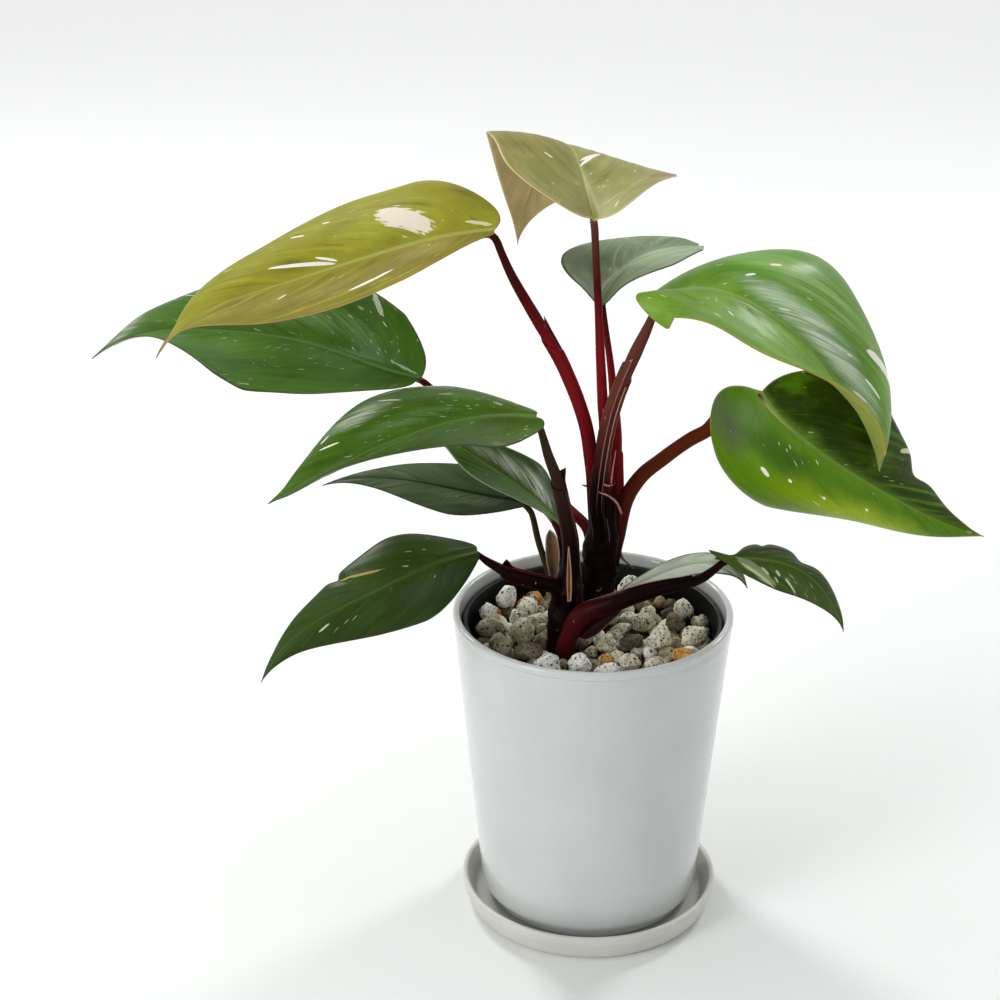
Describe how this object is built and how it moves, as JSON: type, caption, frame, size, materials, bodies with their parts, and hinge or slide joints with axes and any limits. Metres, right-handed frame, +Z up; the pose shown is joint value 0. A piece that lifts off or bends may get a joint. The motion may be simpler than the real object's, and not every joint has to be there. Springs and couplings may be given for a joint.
{
  "type": "potted philodendron",
  "caption": "Potted philodendron with red leaf stalks and flecked green and bronze leaves, in a nursery pot inside a glazed pot on its saucer.",
  "frame": {"origin": "centre of the saucer's flat underside, on the axis of the saucer and the pots", "axes": "+Z up along the pots' axis, -Y towards the side that is seen in front, +X to the right of that view"},
  "size_m": [0.4075, 0.2239, 0.3632],
  "materials": {
    "pot_glaze": "smooth cool grey gloss glaze",
    "saucer_glaze": "satin warm grey glaze",
    "black_plastic": "satin moulded black plastic",
    "soil": "loose dark potting mix",
    "pumice": "dry, pitted, speckled white to brown",
    "stem_maroon": "smooth, dark, slightly glossy skin",
    "stalk_crimson": "smooth, slightly glossy crimson skin",
    "stalk_russet": "smooth, slightly glossy russet skin with pale flecks",
    "blade_bronze": "waxy olive bronze leaf with cream and pink patches",
    "blade_bright": "waxy bright green leaf with cream flecks",
    "blade_green": "waxy mid green leaf with cream flecks",
    "blade_dark": "waxy dark green leaf",
    "papery_bract": "dry, papery, ribbed tan sheath"
  },
  "bodies": {
    "root": {"saucer": "saucer_glaze", "glazed_pot": "pot_glaze", "nursery_pot": "black_plastic", "root_ball": "soil", "pumice_bed": "pumice", "back_stem": "stem_maroon", "front_stem": "stem_maroon", "pumice_stone_01": "pumice", "pumice_stone_02": "pumice", "pumice_stone_03": "pumice", "pumice_stone_04": "pumice", "pumice_stone_05": "pumice", "pumice_stone_06": "pumice", "pumice_stone_07": "pumice", "pumice_stone_08": "pumice", "pumice_stone_09": "pumice", "pumice_stone_10": "pumice", "pumice_stone_11": "pumice", "pumice_stone_12": "pumice", "pumice_stone_13": "pumice", "pumice_stone_14": "pumice", "pumice_stone_15": "pumice", "pumice_stone_16": "pumice", "pumice_stone_17": "pumice", "pumice_stone_18": "pumice", "pumice_stone_19": "pumice", "pumice_stone_20": "pumice", "pumice_stone_21": "pumice", "pumice_stone_22": "pumice", "pumice_stone_23": "pumice", "pumice_stone_24": "pumice", "blade_upper_left": "blade_bronze", "stalk_upper_left": "stalk_crimson", "blade_crown": "blade_bronze", "stalk_crown": "stalk_crimson", "blade_upper_right": "blade_bright", "stalk_upper_right": "stalk_russet", "blade_right": "blade_bright", "stalk_right": "stalk_russet", "blade_outer_left": "blade_green", "stalk_outer_left": "stalk_crimson", "blade_middle_left": "blade_green", "stalk_middle_left": "stalk_russet", "blade_inner_left": "blade_green", "stalk_inner_left": "stalk_russet", "blade_back": "blade_green", "stalk_back": "stalk_crimson", "blade_far_left": "blade_dark", "stalk_far_left": "stalk_russet", "blade_lower_left": "blade_dark", "stalk_lower_left": "stem_maroon", "blade_lower_right": "blade_dark", "stalk_lower_right": "stem_maroon", "blade_small": "blade_dark", "stalk_small": "stem_maroon", "bract_left": "papery_bract", "bract_front": "papery_bract"}
  },
  "joints": []
}
